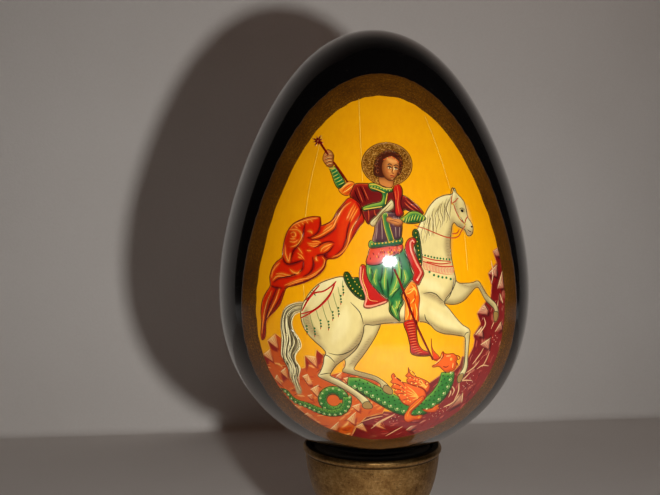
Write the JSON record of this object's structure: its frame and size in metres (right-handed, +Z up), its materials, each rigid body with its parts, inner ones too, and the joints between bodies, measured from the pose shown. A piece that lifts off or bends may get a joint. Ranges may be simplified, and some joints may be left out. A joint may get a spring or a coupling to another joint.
{
  "type": "decorated egg on stand",
  "caption": "Lacquered wooden egg with a painted front panel in a bronze-powder border, standing in a small turned brass cup on a stem and round foot.",
  "frame": {"origin": "middle of the stand's underside, on the felt pad", "axes": "+Z up along the egg's and the stand's common axis; the painted panel faces -Y; +X to the panel's right as seen from the front"},
  "size_m": [0.081, 0.0812, 0.159],
  "materials": {
    "lime_wood": "turned, sealed inside",
    "gesso": "smooth white ground",
    "black_lacquer": "high gloss varnished lacquer",
    "bronze_powder": "brushed bronze powder under clear varnish",
    "painting": "tempera painting under clear varnish",
    "black_felt": "pressed felt",
    "aged_brass": "satin, tarnished",
    "zinc_steel": "zinc plated",
    "green_felt": "pressed felt"
  },
  "bodies": {
    "stand": {"cup_bowl": "aged_brass", "stem_baluster": "aged_brass", "foot": "aged_brass", "stem_stud": "zinc_steel", "foot_nut": "zinc_steel", "washer": "zinc_steel", "felt_pad": "green_felt"},
    "ring": {"seat_ring": "black_felt"},
    "egg": {"wood_core": "lime_wood", "gesso_coat": "gesso", "lacquer_coat": "black_lacquer", "gilt_border": "bronze_powder", "painted_panel": "painting"}
  },
  "joints": [
    {"name": "egg_turn", "type": "hinge", "parent": "stand", "child": "ring", "pos_m": [0, 0, 0.045], "axis": [0, 0, 1], "continuous": true},
    {"name": "egg_lift", "type": "slide", "parent": "ring", "child": "egg", "axis": [0, 0, 1], "range_m": [0, 0.06]}
  ]
}
